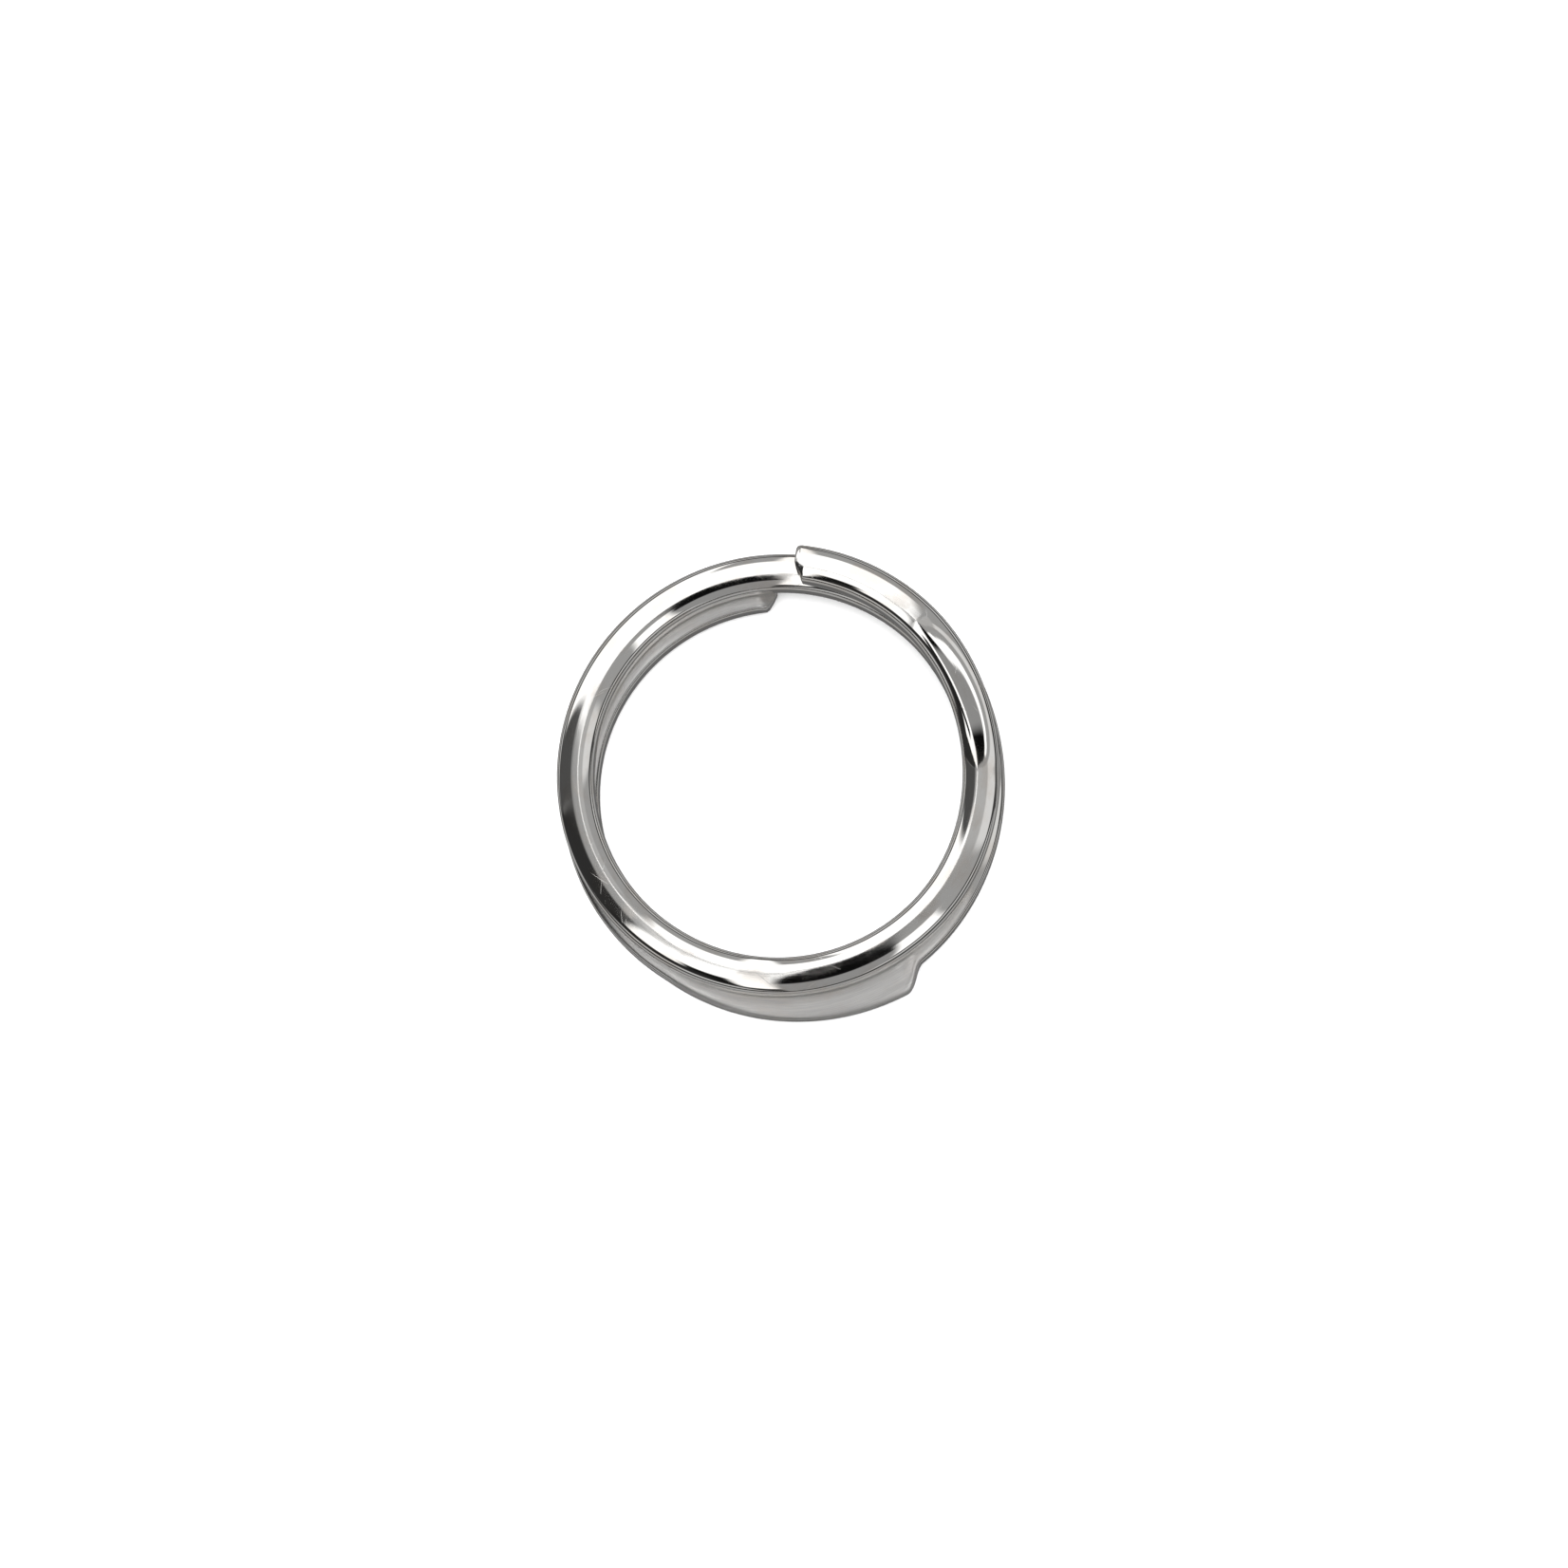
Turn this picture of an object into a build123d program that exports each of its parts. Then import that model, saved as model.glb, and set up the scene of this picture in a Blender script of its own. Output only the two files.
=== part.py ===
from build123d import *
import os
from math import cos, radians, sin

# A two-turn split key ring lying flat, one flattened spring wire wound clockwise from its front tip
# to its rear tip. +Z is up out of the front face, the tips meet at +Y, and the origin is on the
# resting plane under the middle of the whole ring. Millimetres and degrees.
#
# Places along the wire are stations: the degrees wound since the front tip.

# wire
WIRE_WIDTH = 2.07  # along the ring's radius
WIRE_THICKNESS = 1.55  # along the ring's axis
CORNER_RADIUS = 0.42  # of the flattened wire's four edges
TURN_GAP = 0.05  # between two turns lying on each other

# winding
MEAN_RADIUS = 11.31
FRONT_TIP_ANGLE = 84.0  # from +X, counterclockwise
REAR_TIP_STATION = 712.0
FRONT_STEP = (40.0, 85.0)  # the front end comes down one level here
REAR_STEP = (397.5, 442.5)  # the wire goes down to the rear level here
FRONT_DRIFT = (69.0, 129.0)  # the front end's sideways offset dies out here
REAR_DRIFT = (397.5, 504.0)  # the rear turn's sideways offset grows here

# sideways offsets of the front end and the rear turn from the middle turn, and its centre
FRONT_OFFSET = Vector(-0.20, 0.22)
REAR_OFFSET = Vector(0.13, -0.75)
MIDDLE_CENTRE = Vector(-0.03, 0.57)

# thumb pad, where the rear turn is pressed wider and thinner
PAD_SHOULDER = (495.5, 503.0)  # steep side of the pad
PAD_END = 566.0  # the pad has tapered away here
PAD_FLARE = 0.94  # extra width on the outside
PAD_THINNING = 0.24  # taken off each face at the shoulder

# the two wire ends
TIP_LENGTH = 8.0
NAIL_BEVEL = 0.42  # the side facing the next turn is cut back, so a fingernail gets under it
NAIL_BEVEL_LENGTH = 6.0
TIP_ROUND = 0.22  # the last corner is rounded
TIP_ROUND_LENGTH = 1.4

# where each opening end twists, and how far its tip springs open
FRONT_HINGE_STATION = 178.0
REAR_HINGE_STATION = PAD_END

LEVEL_PITCH = WIRE_THICKNESS + TURN_GAP
REAR_HEIGHT = WIRE_THICKNESS / 2
MIDDLE_HEIGHT = REAR_HEIGHT + LEVEL_PITCH


def fade(station, span):
    """0 before the span, 1 after it, and a smooth S between."""
    start, end = span
    share = min(max((station - start) / (end - start), 0), 1)
    return share * share * (3 - 2 * share)


def outward(station):
    """The unit vector from the turn's centre to the wire."""
    angle = radians(FRONT_TIP_ANGLE - station)
    return Vector(cos(angle), sin(angle))


def turn_centre(station):
    """The centre that the wire curves about."""
    front = FRONT_OFFSET * (1 - fade(station, FRONT_DRIFT))
    rear = REAR_OFFSET * fade(station, REAR_DRIFT)
    return MIDDLE_CENTRE + front + rear


def wire_centre(station):
    """The middle of the wire's section."""
    level = 1 - fade(station, FRONT_STEP) - fade(station, REAR_STEP)
    height = MIDDLE_HEIGHT + LEVEL_PITCH * level
    return turn_centre(station) + outward(station) * MEAN_RADIUS + Vector(0, 0, height)


def pad_share(station):
    """1 at the pad's widest place, 0 off the pad, and a straight taper after the shoulder."""
    shoulder, widest = PAD_SHOULDER
    if station <= widest:
        return fade(station, PAD_SHOULDER)
    return max((PAD_END - station) / (PAD_END - widest), 0)


def section_sides(station):
    """How far the section reaches inward, outward, down and up from the wire's centre."""
    pad = pad_share(station)
    inner = outer = WIRE_WIDTH / 2
    down = up = WIRE_THICKNESS / 2 - PAD_THINNING * pad
    outer += PAD_FLARE * pad
    from_rear = REAR_TIP_STATION - station
    rounding = TIP_ROUND * (1 - fade(min(station, from_rear), (0, TIP_ROUND_LENGTH)))
    down -= NAIL_BEVEL * (1 - fade(station, (0, NAIL_BEVEL_LENGTH))) + rounding / 2
    up -= NAIL_BEVEL * (1 - fade(from_rear, (0, NAIL_BEVEL_LENGTH))) + rounding / 2
    return inner - rounding, outer - rounding, down, up


def section_wire(station):
    """The flattened wire's outline, a rectangle with rounded corners square to the ring."""
    inner, outer, down, up = section_sides(station)
    tangent = Vector(outward(station).Y, -outward(station).X)
    plane = Plane(wire_centre(station), x_dir=outward(station), z_dir=tangent)
    inset = CORNER_RADIUS
    slack = CORNER_RADIUS * (1 - cos(radians(45)))
    outline = [
        Line((inset - inner, -down), (outer - inset, -down)),
        ThreePointArc((outer - inset, -down), (outer - slack, slack - down), (outer, inset - down)),
        Line((outer, inset - down), (outer, up - inset)),
        ThreePointArc((outer, up - inset), (outer - slack, up - slack), (outer - inset, up)),
        Line((outer - inset, up), (inset - inner, up)),
        ThreePointArc((inset - inner, up), (slack - inner, up - slack), (-inner, up - inset)),
        Line((-inner, up - inset), (-inner, inset - down)),
        ThreePointArc((-inner, inset - down), (slack - inner, slack - down), (inset - inner, -down)),
    ]
    return plane * Wire(outline)


def formed_stretch(stations):
    """A stretch that steps, drifts, widens or ends, lofted through its sections."""
    return Solid.make_loft([section_wire(station) for station in stations])


def round_stretch(start, end):
    """A stretch of plain round coil, turned about its own centre."""
    centre = turn_centre(start)
    axis = Axis((centre.X, centre.Y, 0), (0, 0, -1))
    return revolve(Face(section_wire(start)), axis=axis, revolution_arc=end - start)


def evenly(start, end, step):
    """Stations from start to end, about a step apart."""
    count = max(round((end - start) / step), 1)
    return [start + (end - start) * index / count for index in range(count + 1)]


front_tip_end = TIP_LENGTH
rear_tip_start = REAR_TIP_STATION - TIP_LENGTH
shoulder_start = PAD_SHOULDER[0] - 1.5

tip_steps = evenly(0, TIP_ROUND_LENGTH, 0.35) + evenly(2, TIP_LENGTH, 1)
pad_steps = evenly(shoulder_start, PAD_SHOULDER[1] + 3, 1.0) + evenly(510, PAD_END, 4)

stretches = {
    "front_tip": formed_stretch(tip_steps),
    "front_arm": round_stretch(front_tip_end, FRONT_STEP[0]),
    "front_step": formed_stretch(evenly(*FRONT_STEP, 3)),
    "front_bend": formed_stretch(evenly(FRONT_STEP[1], FRONT_HINGE_STATION, 5)),
    "middle_turn": round_stretch(FRONT_HINGE_STATION, REAR_STEP[0]),
    "rear_step": formed_stretch(evenly(*REAR_STEP, 3)),
    "rear_bend": formed_stretch(evenly(REAR_STEP[1], shoulder_start, 5)),
    "thumb_pad": formed_stretch(pad_steps),
    "rear_arm": round_stretch(PAD_END, rear_tip_start),
    "rear_tip": formed_stretch([REAR_TIP_STATION - step for step in reversed(tip_steps)]),
}

os.makedirs("parts", exist_ok=True)
for name, shape in stretches.items():
    export_step(shape, f"parts/{name}.step")
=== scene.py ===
from math import cos, pi, radians, sin

import bpy
from mathutils import Matrix, Vector


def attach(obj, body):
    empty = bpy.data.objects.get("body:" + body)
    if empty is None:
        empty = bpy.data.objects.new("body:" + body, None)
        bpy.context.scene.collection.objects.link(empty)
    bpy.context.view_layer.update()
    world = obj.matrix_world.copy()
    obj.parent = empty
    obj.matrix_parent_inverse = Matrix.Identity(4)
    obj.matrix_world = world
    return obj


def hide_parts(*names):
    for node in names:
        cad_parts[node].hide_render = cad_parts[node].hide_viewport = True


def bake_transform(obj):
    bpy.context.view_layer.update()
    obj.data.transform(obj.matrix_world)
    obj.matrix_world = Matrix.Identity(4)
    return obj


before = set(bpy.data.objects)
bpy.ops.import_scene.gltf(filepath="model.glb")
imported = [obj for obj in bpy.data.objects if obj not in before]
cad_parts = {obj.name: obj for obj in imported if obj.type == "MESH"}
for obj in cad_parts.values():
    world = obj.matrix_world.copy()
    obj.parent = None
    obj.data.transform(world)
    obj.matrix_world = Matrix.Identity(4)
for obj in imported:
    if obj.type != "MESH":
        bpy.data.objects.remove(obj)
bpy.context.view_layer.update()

# A split key ring: one flattened spring wire, two turns, lying flat. Places along the wire are
# stations, the degrees wound clockwise since the front tip, as in the CAD.

MM = 0.001

# the same driving sizes as the CAD, in metres and degrees
HALF_WIDTH = 2.07 * MM / 2
HALF_THICKNESS = 1.55 * MM / 2
LEVEL_PITCH = 1.60 * MM
MEAN_RADIUS = 11.31 * MM
FRONT_TIP_ANGLE = 84.0
REAR_TIP = 712.0
FRONT_STEP = (40.0, 85.0)
REAR_STEP = (397.5, 442.5)
FRONT_DRIFT = (69.0, 129.0)
REAR_DRIFT = (397.5, 504.0)
FRONT_OFFSET = Vector((-0.20, 0.22, 0)) * MM
REAR_OFFSET = Vector((0.13, -0.75, 0)) * MM
MIDDLE_CENTRE = Vector((-0.03, 0.57, 0)) * MM
PAD_SHOULDER = (495.5, 503.0)
PAD_END = 566.0
PAD_FLARE = 0.94 * MM
PAD_THINNING = 0.24 * MM
NAIL_BEVEL = 0.42 * MM
NAIL_BEVEL_LENGTH = 6.0
TIP_ROUND = 0.22 * MM
TIP_ROUND_LENGTH = 1.4
MIDDLE_HEIGHT = HALF_THICKNESS + LEVEL_PITCH

# the visual's own shape
RING_POINTS = 88  # around the wire
SEAM_FRONT = 244.0  # the front end's mesh meets the middle one here
SEAM_REAR = 459.0  # and the rear end's here
CROWNED = 3.2  # how square the section is on its outside half, from 2 for an ellipse
FLAT = 5.2  # and on the half pressed against the next turn
SLANT = 0.80 * MM  # each wire end is cut back at its inner corner by this much of the width
SLANT_LENGTH = 2.8  # and over this many degrees
TIP_LEAN = (28, 58)  # the section's lean by the front tip dies out here
LOW_LEAN_START = (165, 173)  # and an opposite lean at the lower left starts
LOW_LEAN_END = (203, 223)  # and ends here

# degrees between sections: (within this of a wire end, this close), then elsewhere
END_SPACINGS = ((0.2, 0.02), (3, 0.1))
SHOULDER_SPACING = 0.25
PLAIN_SPACING = 0.9

# finish
REAR_RUBBED = (470, 480)  # from here on, the upper face is rubbed by the turn above
FRONT_RUBBED = (350, 362)  # and up to here, the lower face by the turn below
RUBBED_EDGE = (0.80 * HALF_WIDTH, 0.98 * HALF_WIDTH)  # the rubbed band fades out to the sides
END_WEAR = (0.2, 3.5)  # degrees from a wire end over which its duller finish dies out


def fade(value, span):
    """0 before the span, 1 after it, and a smooth S between."""
    start, end = span
    share = min(max((value - start) / (end - start), 0), 1)
    return share * share * (3 - 2 * share)


def to_wire_end(station):
    """Degrees to the nearer end of the wire."""
    return min(station, REAR_TIP - station)


def outward(station):
    """The unit vector from the turn's centre to the wire."""
    angle = radians(FRONT_TIP_ANGLE - station)
    return Vector((cos(angle), sin(angle), 0))


def wire_centre(station):
    """The middle of the wire's section."""
    front = 1 - fade(station, FRONT_DRIFT)
    rear = fade(station, REAR_DRIFT)
    centre = MIDDLE_CENTRE + FRONT_OFFSET * front + REAR_OFFSET * rear
    level = 1 - fade(station, FRONT_STEP) - fade(station, REAR_STEP)
    height = MIDDLE_HEIGHT + LEVEL_PITCH * level
    return centre + outward(station) * MEAN_RADIUS + Vector((0, 0, height))


def pad_share(station):
    """1 at the pad's widest place, 0 off the pad, and a straight taper after the shoulder."""
    shoulder, widest = PAD_SHOULDER
    if station <= widest:
        return fade(station, PAD_SHOULDER)
    return max((PAD_END - station) / (PAD_END - widest), 0)


def twist(station):
    """The section's small lean outward, in degrees, so that two stretches catch a white panel."""
    tip = 1 - fade(station, TIP_LEAN)
    low = fade(station, LOW_LEAN_START) * (1 - fade(station, LOW_LEAN_END))
    return tip - low


def tip_rounding(station):
    """How far the wire's last corners are rounded off here, along a quarter of an ellipse."""
    share = min(to_wire_end(station), TIP_ROUND_LENGTH) / TIP_ROUND_LENGTH
    return TIP_ROUND * (1 - (1 - (1 - share) ** 2) ** 0.5)


def tip_slant(station):
    """How far the slanted cut at the wire's end has come in from the inside edge."""
    share = min(to_wire_end(station), SLANT_LENGTH) / SLANT_LENGTH
    return SLANT * (1 - share)


def section_point(station, turn):
    """A point of the section, as (outward, up) from the wire's centre. turn goes once round."""
    pad = pad_share(station)
    rear = fade(station, REAR_STEP)
    c, s = cos(turn), sin(turn)
    above = CROWNED + (FLAT - CROWNED) * rear
    below = FLAT + (CROWNED - FLAT) * rear
    sharp = above if s > 0 else below
    scale = (abs(c) ** sharp + abs(s) ** sharp) ** (-1 / sharp)
    x, z = c * scale, s * scale
    rounding = tip_rounding(station)
    half_up = half_down = HALF_THICKNESS - PAD_THINNING * pad - rounding / 2
    half_down -= NAIL_BEVEL * (1 - fade(station, (0, NAIL_BEVEL_LENGTH)))
    half_up -= NAIL_BEVEL * (1 - fade(REAR_TIP - station, (0, NAIL_BEVEL_LENGTH)))
    reach = HALF_WIDTH - rounding + (PAD_FLARE * pad if x > 0 else -tip_slant(station))
    return x * reach, z * (half_up if z > 0 else half_down)


def mating(station, x, z):
    """How much the surface is rubbed and pressed flat by the next turn, 0 to 1."""
    across = 1 - fade(abs(x), RUBBED_EDGE)
    if pad_share(station) > 0.02 and x > 0:
        across = 1
    rear_face = fade(station, REAR_RUBBED) if z > 0 else 0
    front_face = 1 - fade(station, FRONT_RUBBED) if z < 0 else 0
    return across * max(rear_face, front_face)


def spacing(station):
    """Degrees from this section to the next: close at the tips and at the pad's shoulder."""
    for zone, close in END_SPACINGS:
        if to_wire_end(station) < zone:
            return close
    if PAD_SHOULDER[0] - 1 < station < PAD_SHOULDER[1] + 3:
        return SHOULDER_SPACING
    return PLAIN_SPACING


def stations_between(start, end):
    """The stations of a piece's sections, the last gap up to half as long again."""
    stations = [start]
    while end - stations[-1] > 1.5 * spacing(stations[-1]):
        stations.append(stations[-1] + spacing(stations[-1]))
    return stations + [end]


def wire_piece(name, start, end):
    """A closed mesh of the wire between two stations."""
    verts, faces, space, finish = [], [], [], []
    stations = stations_between(start, end)
    for station in stations:
        centre = wire_centre(station)
        lean = radians(twist(station))
        end_wear = 1 - fade(to_wire_end(station), END_WEAR)
        for step in range(RING_POINTS):
            x, z = section_point(station, 2 * pi * step / RING_POINTS)
            out = x * cos(lean) + z * sin(lean)
            rise = z * cos(lean) - x * sin(lean)
            verts.append(centre + outward(station) * out + Vector((0, 0, rise)))
            space.append((radians(station) * MEAN_RADIUS, x, z))
            finish.append((mating(station, x, z), end_wear, 0))
    for ring in range(len(stations) - 1):
        for step in range(RING_POINTS):
            beside = (step + 1) % RING_POINTS
            a = ring * RING_POINTS
            faces.append((a + step, a + beside, a + RING_POINTS + beside, a + RING_POINTS + step))
    faces.append(tuple(reversed(range(RING_POINTS))))
    last = (len(stations) - 1) * RING_POINTS
    faces.append(tuple(range(last, last + RING_POINTS)))
    mesh = bpy.data.meshes.new(name)
    mesh.from_pydata(verts, [], faces)
    for title, values in (("wire_space", space), ("finish", finish)):
        attribute = mesh.attributes.new(title, "FLOAT_VECTOR", "POINT")
        attribute.data.foreach_set("vector", [value for point in values for value in point])
    for polygon in mesh.polygons:
        polygon.use_smooth = len(polygon.vertices) == 4
    cap_corners = set(range(RING_POINTS)) | set(range(last, last + RING_POINTS))
    for edge in mesh.edges:
        first, second = edge.vertices
        same_ring = first // RING_POINTS == second // RING_POINTS
        edge.use_edge_sharp = same_ring and first in cap_corners and second in cap_corners
    mesh.update()
    piece = bpy.data.objects.new(name, mesh)
    bpy.context.scene.collection.objects.link(piece)
    return piece


class Nodes:
    """Small sums of shader nodes, written as calls."""

    def __init__(self, tree):
        self.tree = tree

    def new(self, kind, **settings):
        node = self.tree.nodes.new(kind)
        for name, value in settings.items():
            setattr(node, name, value)
        return node

    def feed(self, socket, value):
        if isinstance(value, (int, float, tuple)):
            socket.default_value = value
        else:
            self.tree.links.new(value, socket)

    def math(self, operation, *values):
        node = self.new("ShaderNodeMath", operation=operation)
        for socket, value in zip(node.inputs, values):
            self.feed(socket, value)
        return node.outputs[0]

    def ramp(self, value, start, end, low=0.0, high=1.0):
        """low before start, high after end, smooth between. start may be the larger."""
        node = self.new("ShaderNodeMapRange", interpolation_type="SMOOTHSTEP")
        for name, setting in (("Value", value), ("From Min", start), ("From Max", end),
                              ("To Min", low), ("To Max", high)):
            self.feed(node.inputs[name], setting)
        return node.outputs[0]

    def mix(self, under, over, share):
        """under where share is 0, over where it is 1."""
        difference = self.math("SUBTRACT", over, under)
        return self.math("MULTIPLY_ADD", difference, share, under)

    def attribute(self, title):
        node = self.new("ShaderNodeAttribute", attribute_name=title)
        split = self.new("ShaderNodeSeparateXYZ")
        self.tree.links.new(node.outputs["Vector"], split.inputs[0])
        return split.outputs

    def noise(self, place, detail, roughness=0.5):
        """Noise at a place given as three values."""
        joined = self.new("ShaderNodeCombineXYZ")
        for socket, value in zip(joined.inputs, place):
            self.feed(socket, value)
        node = self.new("ShaderNodeTexNoise")
        self.tree.links.new(joined.outputs[0], node.inputs["Vector"])
        self.feed(node.inputs["Scale"], 1.0)
        self.feed(node.inputs["Detail"], detail)
        self.feed(node.inputs["Roughness"], roughness)
        return node.outputs["Fac"]

    def colour_mix(self, under, over, share):
        node = self.new("ShaderNodeMix", data_type="RGBA")
        self.feed(node.inputs[0], share)
        self.feed(node.inputs[6], under)
        self.feed(node.inputs[7], over)
        return node.outputs[2]


def steel_material():
    """Bright plated spring steel: draw lines, handling scratches and rubbed mating faces."""
    material = bpy.data.materials.new("plated_spring_steel")
    material.use_nodes = True
    nodes = Nodes(material.node_tree)
    shader = material.node_tree.nodes["Principled BSDF"]
    along, across, up = nodes.attribute("wire_space")
    rubbed, end_wear, _ = nodes.attribute("finish")

    def scaled(value, scale):
        return nodes.math("MULTIPLY", value, scale)

    # fine lines drawn along the wire, and the brushing of the faces that rub on each other
    lines = nodes.noise((scaled(along, 90), scaled(across, 16000), scaled(up, 16000)), 3.0)
    brushed = nodes.noise((scaled(along, 420), scaled(across, 26000), scaled(up, 9000)), 4.0, 0.62)
    # handling scratches at two slants, only in some places
    slant = nodes.math("MULTIPLY_ADD", across, 1.3, along)
    other = nodes.math("MULTIPLY_ADD", across, -2.1, along)
    one_way = nodes.noise((scaled(slant, 9000), scaled(across, 450), scaled(up, 450)), 2.0)
    two_way = nodes.noise((scaled(other, 7000), scaled(across, 380), scaled(up, 380)), 2.0)
    scratch = nodes.math("MAXIMUM", nodes.ramp(one_way, 0.70, 0.76), nodes.ramp(two_way, 0.71, 0.77))
    patches = nodes.noise((scaled(along, 260), scaled(across, 500), scaled(up, 500)), 2.0)
    scratch = nodes.math("MULTIPLY", scratch, nodes.ramp(patches, 0.50, 0.62))
    # slow changes of polish, and the faint film that fingers leave
    cloud = nodes.noise((scaled(along, 520), scaled(across, 900), scaled(up, 900)), 4.0, 0.6)
    film = nodes.ramp(cloud, 0.44, 0.66)

    rough = nodes.math("MULTIPLY_ADD", lines, 0.03, 0.018)
    rough = nodes.math("MULTIPLY_ADD", film, 0.03, rough)
    rough = nodes.math("MULTIPLY_ADD", scratch, 0.16, rough)
    satin = nodes.math("MULTIPLY_ADD", brushed, 0.16, 0.24)
    rough = nodes.mix(rough, satin, rubbed)
    rough = nodes.math("MULTIPLY_ADD", end_wear, 0.07, rough)
    nodes.tree.links.new(rough, shader.inputs["Roughness"])

    bright = (0.85, 0.84, 0.82, 1)
    warm = (0.80, 0.765, 0.725, 1)
    worn = (0.70, 0.69, 0.68, 1)
    colour = nodes.colour_mix(bright, warm, film)
    colour = nodes.colour_mix(colour, worn, nodes.math("MULTIPLY", rubbed, nodes.ramp(brushed, 0.3, 0.7)))
    colour = nodes.colour_mix(colour, worn, nodes.math("MULTIPLY", scratch, 0.5))
    nodes.tree.links.new(colour, shader.inputs["Base Color"])
    shader.inputs["Metallic"].default_value = 1

    relief = nodes.math("MULTIPLY", lines, 0.55)
    relief = nodes.math("SUBTRACT", relief, nodes.math("MULTIPLY", scratch, 1.5))
    relief = nodes.math("ADD", relief, nodes.math("MULTIPLY", nodes.math("MULTIPLY", brushed, rubbed), 2.2))
    bump = nodes.new("ShaderNodeBump")
    bump.inputs["Strength"].default_value = 0.5
    bump.inputs["Distance"].default_value = 0.0000012
    nodes.tree.links.new(relief, bump.inputs["Height"])
    nodes.tree.links.new(bump.outputs["Normal"], shader.inputs["Normal"])
    return material


front = wire_piece("front_end_wire", 0.0, SEAM_FRONT)
middle = wire_piece("middle_wire", SEAM_FRONT, SEAM_REAR)
rear = wire_piece("rear_end_wire", SEAM_REAR, REAR_TIP)
steel = steel_material()
for piece in (front, middle, rear):
    piece.data.materials.append(steel)

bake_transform(front)
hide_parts("front_tip", "front_arm", "front_step", "front_bend")
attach(middle, "middle")
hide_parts("middle_turn", "rear_step", "rear_bend", "thumb_pad")
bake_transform(rear)
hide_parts("rear_arm", "rear_tip")

# floor, a plain sheet of matt paper that the steel doesn't mirror
SIDE = 3.0  # half its width, in metres
floor_mesh = bpy.data.meshes.new("floor")
floor_mesh.from_pydata([(-SIDE, -SIDE, 0), (SIDE, -SIDE, 0), (SIDE, SIDE, 0), (-SIDE, SIDE, 0)],
                       [], [(0, 1, 2, 3)])
floor = bpy.data.objects.new("floor", floor_mesh)
bpy.context.scene.collection.objects.link(floor)
paper = bpy.data.materials.new("paper")
paper.use_nodes = True
paper_shader = paper.node_tree.nodes["Principled BSDF"]
paper_shader.inputs["Base Color"].default_value = (0.93, 0.93, 0.93, 1)
paper_shader.inputs["Roughness"].default_value = 0.9
paper_shader.inputs["Specular IOR Level"].default_value = 0
floor.data.materials.append(paper)
floor.visible_glossy = False

# camera
TILT = 10.7
TILT_TOWARDS = -68.9
LENS = 100.0
SENSOR = 36.0
FRAME_WIDTH = 86.5 * MM
away = Vector((sin(radians(TILT)) * cos(radians(TILT_TOWARDS)),
               sin(radians(TILT)) * sin(radians(TILT_TOWARDS)), cos(radians(TILT))))
camera_data = bpy.data.cameras.new("camera")
camera_data.lens = LENS
camera_data.sensor_width = SENSOR
camera_data.clip_start = 0.01
camera = bpy.data.objects.new("camera", camera_data)
bpy.context.scene.collection.objects.link(camera)
side = Vector((0, 1, 0)).cross(away).normalized()
up = away.cross(side)
target = Vector((0.22, -0.04, 2.4)) * MM
place = target + away * (FRAME_WIDTH * LENS / SENSOR)
camera.matrix_world = Matrix.Translation(place) @ Matrix((side, up, away)).transposed().to_4x4()
bpy.context.scene.camera = camera

# a broad soft light for the paper alone
lamp_data = bpy.data.lights.new("overhead", "AREA")
lamp_data.shape = "DISK"
lamp_data.size = 1.6
lamp_data.energy = 34.0
lamp = bpy.data.objects.new("overhead", lamp_data)
bpy.context.scene.collection.objects.link(lamp)
lamp.location = (0, 0, 1.2)
lamp.visible_glossy = False
lamp.visible_camera = False

# studio: white panels with dark gaps, placed round the direction that the flat faces mirror to
# the camera. MIRROR_EAST and MIRROR_NORTH are the degrees that it leans from straight up. compass
# is the way round it, counterclockwise from east, and distance the degrees out from it.
MIRROR_EAST = -3.85
MIRROR_NORTH = 9.98
SKY_NEAR = 0.36
SKY_FAR = 0.05
WHITE = 1.35
CORNER_BOX = 0.60
BELOW_HORIZON = 0.42
BELOW_OBJECT = 0.14
BACKDROP = 0.92  # what the camera sees past the floor
world = bpy.data.worlds.new("studio")
bpy.context.scene.world = world
world.use_nodes = True
bpy.context.scene.view_settings.view_transform = "Standard"
studio = Nodes(world.node_tree)
direction = studio.new("ShaderNodeTexCoord").outputs["Generated"]
split = studio.new("ShaderNodeSeparateXYZ")
studio.tree.links.new(direction, split.inputs[0])
east, north, zenith = split.outputs
lean_east = studio.math("DEGREES", studio.math("ARCTAN2", east, zenith))
lean_north = studio.math("DEGREES", studio.math("ARCTAN2", north, zenith))
from_east = studio.math("SUBTRACT", lean_east, MIRROR_EAST)
from_north = studio.math("SUBTRACT", lean_north, MIRROR_NORTH)
compass = studio.math("DEGREES", studio.math("ARCTAN2", from_north, from_east))
squared = studio.math("MULTIPLY_ADD", from_east, from_east, studio.math("MULTIPLY", from_north, from_north))
distance = studio.math("SQRT", squared)


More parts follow.
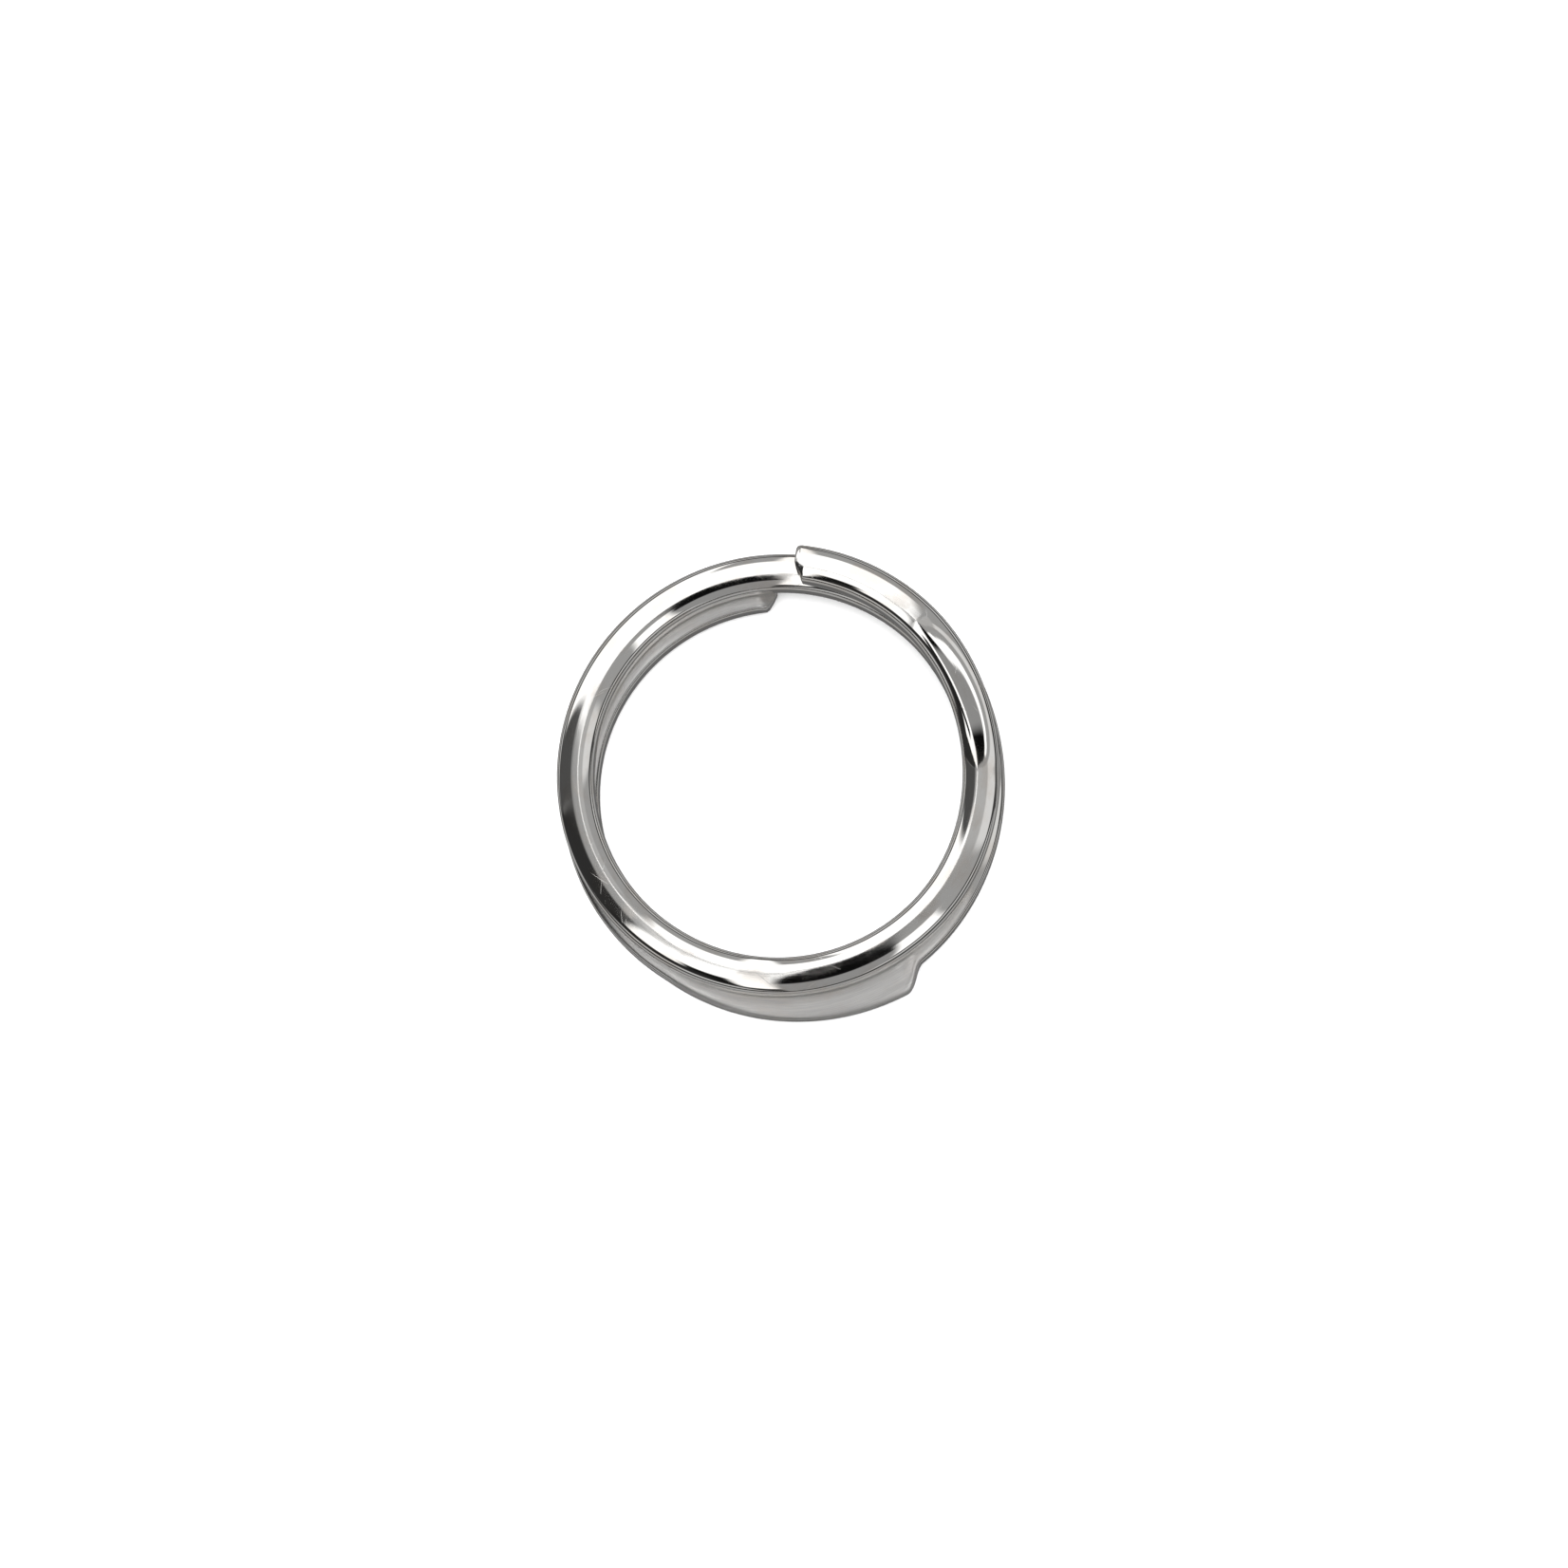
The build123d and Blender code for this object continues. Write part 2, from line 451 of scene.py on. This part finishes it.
def panel(light, value, middle, half, soft, near=None, far=None):
    """Paint a sector of the sky: its middle and half width in compass degrees, and how soft its
    sides are. near and far are (start, end) fades of distance that bound it, if given."""
    turned = studio.math("SUBTRACT", compass, float(middle))
    turned = studio.math("ABSOLUTE", studio.math("WRAP", turned, 180.0, -180.0))
    share = studio.ramp(turned, half + soft, half - soft)
    for span in (near, far):
        if span:
            share = studio.math("MULTIPLY", share, studio.ramp(distance, *span))
    return studio.mix(light, value, share)


light = studio.ramp(distance, 58, 64, SKY_NEAR, SKY_FAR)
# four low softboxes, for steep faces and for views from the side
for corner in (45, 135, 225, 315):
    light = panel(light, CORNER_BOX, corner, 24, 6, near=(76, 84), far=(114, 106))
# the white and dark panels, each painted over the ones before it
light = panel(light, WHITE, 137, 26, 2, far=(58, 50))
light = panel(light, WHITE, 84, 34, 3, far=(25, 20))
light = panel(light, WHITE, 86, 6, 2, near=(18, 22), far=(66, 58))
light = panel(light, 0.08, 172, 14, 3, near=(3, 6))
light = panel(light, 0.03, 206, 20, 3, near=(3, 6))
light = panel(light, WHITE, 247, 22, 2, far=(66, 58))
light = panel(light, 0.008, 249, 7, 2, near=(20, 26), far=(70, 62))
light = panel(light, 0.02, 235, 14, 3, near=(35, 43), far=(70, 62))
light = panel(light, 0.30, 286, 18, 2, near=(17, 23))
light = panel(light, 0.004, 286, 18, 2, far=(25, 19))
light = panel(light, WHITE, 311, 7, 2, near=(9, 12), far=(66, 58))
light = panel(light, 0.75, 352, 12, 3, near=(9, 12), far=(66, 58))
light = panel(light, 0.48, 10, 30, 4, far=(14, 9))
light = studio.mix(light, BELOW_HORIZON, studio.ramp(zenith, -0.12, -0.30))
light = studio.mix(light, BELOW_OBJECT, studio.ramp(zenith, -0.55, -0.85))
seen = studio.new("ShaderNodeLightPath").outputs["Is Camera Ray"]
light = studio.mix(light, BACKDROP, seen)
background = world.node_tree.nodes["Background"]
studio.tree.links.new(light, background.inputs["Color"])
background.inputs["Strength"].default_value = 1.0
